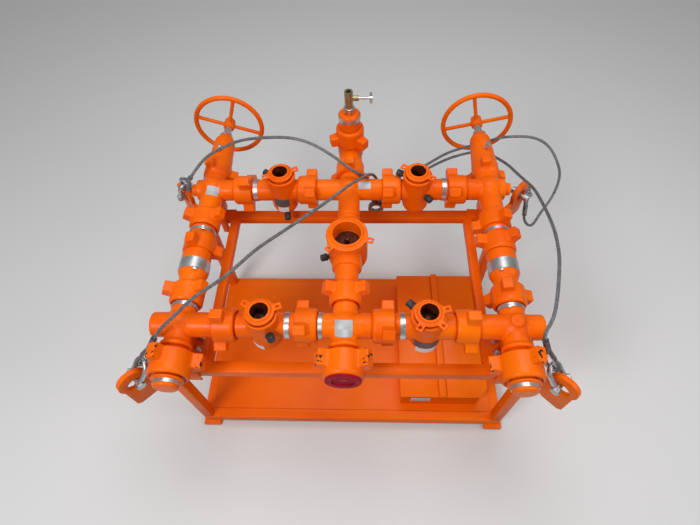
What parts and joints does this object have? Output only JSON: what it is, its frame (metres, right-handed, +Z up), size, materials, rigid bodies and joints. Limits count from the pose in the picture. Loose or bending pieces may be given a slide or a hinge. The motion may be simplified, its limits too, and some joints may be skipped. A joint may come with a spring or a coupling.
{
  "type": "choke manifold",
  "caption": "Skid mounted choke manifold with plug valves, adjustable chokes, wing unions, crosses, a bleed stack and a wire rope lifting sling.",
  "frame": {"origin": "on the floor, under the middle of the object's outline in X and Y, without the sling", "axes": "+X to the right seen from the front, +Y away from the viewer towards the handwheels, +Z up"},
  "size_m": [1.8118, 1.35, 1.152],
  "materials": {
    "orange_paint": "gloss enamel",
    "cap_plastic": "gloss",
    "zinc_steel": "galvanised",
    "bronze": "satin",
    "plated_steel": "satin",
    "stainless": "satin",
    "black_rubber": "matt",
    "dark_steel": "worn",
    "rope_wire": "galvanised strand"
  },
  "bodies": {
    "manifold": {"base_rails": "orange_paint", "deck_plate": "orange_paint", "corner_posts": "orange_paint", "top_rails": "orange_paint", "corner_brackets": "orange_paint", "pipe_saddles": "orange_paint", "saddle_bolts": "zinc_steel", "tool_box": "orange_paint", "padeyes": "orange_paint", "front_left_cross": "orange_paint", "front_right_cross": "orange_paint", "front_centre_cross": "orange_paint", "back_centre_cross": "orange_paint", "left_choke": "orange_paint", "right_choke": "orange_paint", "front_left_valve": "orange_paint", "front_right_valve": "orange_paint", "back_left_valve": "orange_paint", "back_right_valve": "orange_paint", "centre_valve": "orange_paint", "front_run_nuts": "orange_paint", "back_run_nuts": "orange_paint", "left_run_nuts": "orange_paint", "right_run_nuts": "orange_paint", "centre_line_nuts": "orange_paint", "side_spools": "orange_paint", "bull_plugs": "orange_paint", "outlet_cap": "cap_plastic", "bleed_elbow": "orange_paint", "needle_valve": "bronze", "id_bands": "stainless", "grease_caps": "black_rubber", "shackles": "zinc_steel", "sling_fittings": "dark_steel", "master_link": "dark_steel", "front_left_leg": "rope_wire", "front_right_leg": "rope_wire", "back_left_leg": "rope_wire", "back_right_leg": "rope_wire"},
    "left_wheel": {"left_handwheel": "orange_paint"},
    "right_wheel": {"right_handwheel": "orange_paint"},
    "front_left_key": {"front_left_operator": "orange_paint"},
    "front_right_key": {"front_right_operator": "orange_paint"},
    "back_left_key": {"back_left_operator": "orange_paint"},
    "back_right_key": {"back_right_operator": "orange_paint"},
    "centre_key": {"centre_operator": "orange_paint"},
    "needle_key": {"needle_handle": "plated_steel"}
  },
  "joints": [
    {"name": "left_handwheel_turn", "type": "hinge", "parent": "manifold", "child": "left_wheel", "pos_m": [-0.6, 0.645, 0.832], "axis": [0, 1, 0], "range_deg": [-540, 540]},
    {"name": "right_handwheel_turn", "type": "hinge", "parent": "manifold", "child": "right_wheel", "pos_m": [0.6, 0.645, 0.832], "axis": [0, 1, 0], "range_deg": [-540, 540]},
    {"name": "front_left_valve_turn", "type": "hinge", "parent": "manifold", "child": "front_left_key", "pos_m": [-0.291, -0.435, 0.924], "axis": [0, 0, 1], "range_deg": [0, 90]},
    {"name": "front_right_valve_turn", "type": "hinge", "parent": "manifold", "child": "front_right_key", "pos_m": [0.291, -0.435, 0.924], "axis": [0, 0, 1], "range_deg": [0, 90]},
    {"name": "back_left_valve_turn", "type": "hinge", "parent": "manifold", "child": "back_left_key", "pos_m": [-0.289, 0.219, 0.924], "axis": [0, 0, 1], "range_deg": [0, 90]},
    {"name": "back_right_valve_turn", "type": "hinge", "parent": "manifold", "child": "back_right_key", "pos_m": [0.289, 0.219, 0.924], "axis": [0, 0, 1], "range_deg": [0, 90]},
    {"name": "centre_valve_turn", "type": "hinge", "parent": "manifold", "child": "centre_key", "pos_m": [0, -0.085, 0.902], "axis": [0, 0, 1], "range_deg": [0, 90]},
    {"name": "needle_handle_turn", "type": "hinge", "parent": "manifold", "child": "needle_key", "pos_m": [0.06, 0.465, 1.118], "axis": [1, 0, 0], "range_deg": [0, 720]}
  ]
}
